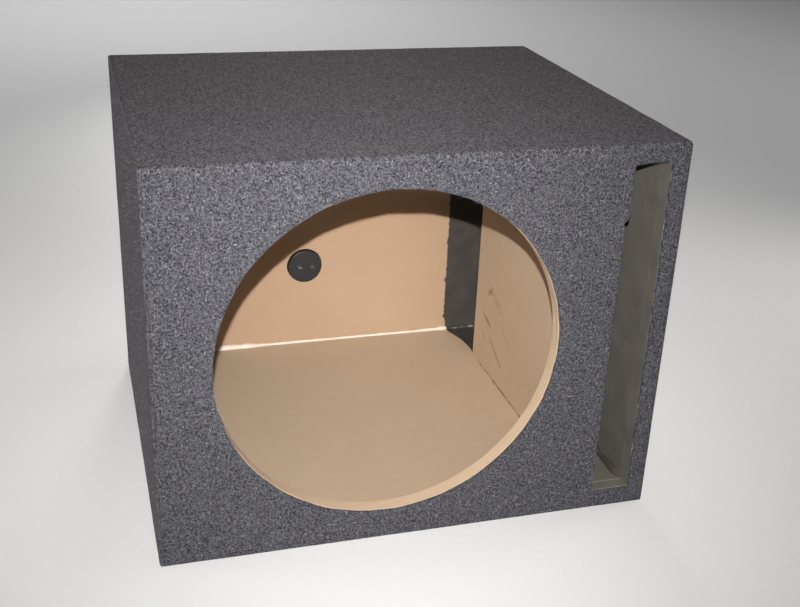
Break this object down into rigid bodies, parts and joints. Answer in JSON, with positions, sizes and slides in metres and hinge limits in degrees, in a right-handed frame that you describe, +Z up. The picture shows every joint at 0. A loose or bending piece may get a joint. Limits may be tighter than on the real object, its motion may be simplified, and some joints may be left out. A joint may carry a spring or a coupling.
{
  "type": "vented car subwoofer enclosure",
  "caption": "Carpeted fibreboard car subwoofer enclosure with a round driver cutout, a tall slot port and a rear spring terminal cup.",
  "frame": {"origin": "bottom centre of the whole part, on the surface it stands on", "axes": "+X to the right seen from the driver side, +Y from the driver side to the terminal side, +Z up"},
  "size_m": [0.533, 0.4506, 0.416],
  "materials": {
    "board": "raw medium density fibreboard, with black paint in the port",
    "carpet": "heathered charcoal needle-felt carpet",
    "sealant": "cured white sealant bead",
    "cup": "fine-textured moulded plastic",
    "lever_red": "moulded",
    "lever_black": "moulded",
    "contact": "tin-plated spring strip",
    "spring": "spring wire",
    "screw": "black phosphate",
    "brad": "galvanised wire"
  },
  "bodies": {
    "enclosure": {"back_panel": "board", "bead_back_floor": "sealant", "bead_back_left": "sealant", "bead_back_top": "sealant", "bead_left_floor": "sealant", "bead_left_top": "sealant", "bead_port_floor": "sealant", "bead_port_top": "sealant", "bottom_panel": "board", "brad_back_floor_1": "brad", "brad_back_floor_2": "brad", "brad_back_left_1": "brad", "brad_back_left_2": "brad", "brad_back_right_1": "brad", "brad_back_right_2": "brad", "brad_back_top_1": "brad", "brad_back_top_2": "brad", "brad_floor_left_1": "brad", "brad_floor_left_2": "brad", "brad_floor_port_1": "brad", "brad_floor_port_2": "brad", "brad_floor_right_1": "brad", "brad_floor_right_2": "brad", "brad_front_floor_1": "brad", "brad_front_floor_2": "brad", "brad_front_left_1": "brad", "brad_front_left_2": "brad", "brad_front_right_1": "brad", "brad_front_right_2": "brad", "brad_front_top_1": "brad", "brad_front_top_2": "brad", "brad_top_left_1": "brad", "brad_top_left_2": "brad", "brad_top_port_1": "brad", "brad_top_port_2": "brad", "brad_top_right_1": "brad", "brad_top_right_2": "brad", "carpet_base": "carpet", "carpet_left": "carpet", "carpet_right": "carpet", "carpet_wrap": "carpet", "contact_negative": "contact", "contact_positive": "contact", "flange_screw_1": "screw", "flange_screw_2": "screw", "flange_screw_3": "screw", "flange_screw_4": "screw", "front_baffle": "board", "left_panel": "board", "lever_spring_negative": "spring", "lever_spring_positive": "spring", "port_wall": "board", "right_panel": "board", "terminal_cup": "cup", "top_panel": "board"},
    "lever_positive": {"lever_positive": "lever_red"},
    "lever_negative": {"lever_negative": "lever_black"}
  },
  "joints": [
    {"name": "lever_positive_press", "type": "hinge", "parent": "enclosure", "child": "lever_positive", "pos_m": [-0.0211, 0.2147, 0.132], "axis": [1, 0, 0], "range_deg": [0, 16], "stiffness_Nm_per_rad": 0.12, "springref_deg": -20.05, "deforming": ["lever_spring_positive"]},
    {"name": "lever_negative_press", "type": "hinge", "parent": "enclosure", "child": "lever_negative", "pos_m": [-0.0399, 0.2147, 0.132], "axis": [1, 0, 0], "range_deg": [0, 16], "stiffness_Nm_per_rad": 0.12, "springref_deg": -20.05, "deforming": ["lever_spring_negative"]}
  ]
}
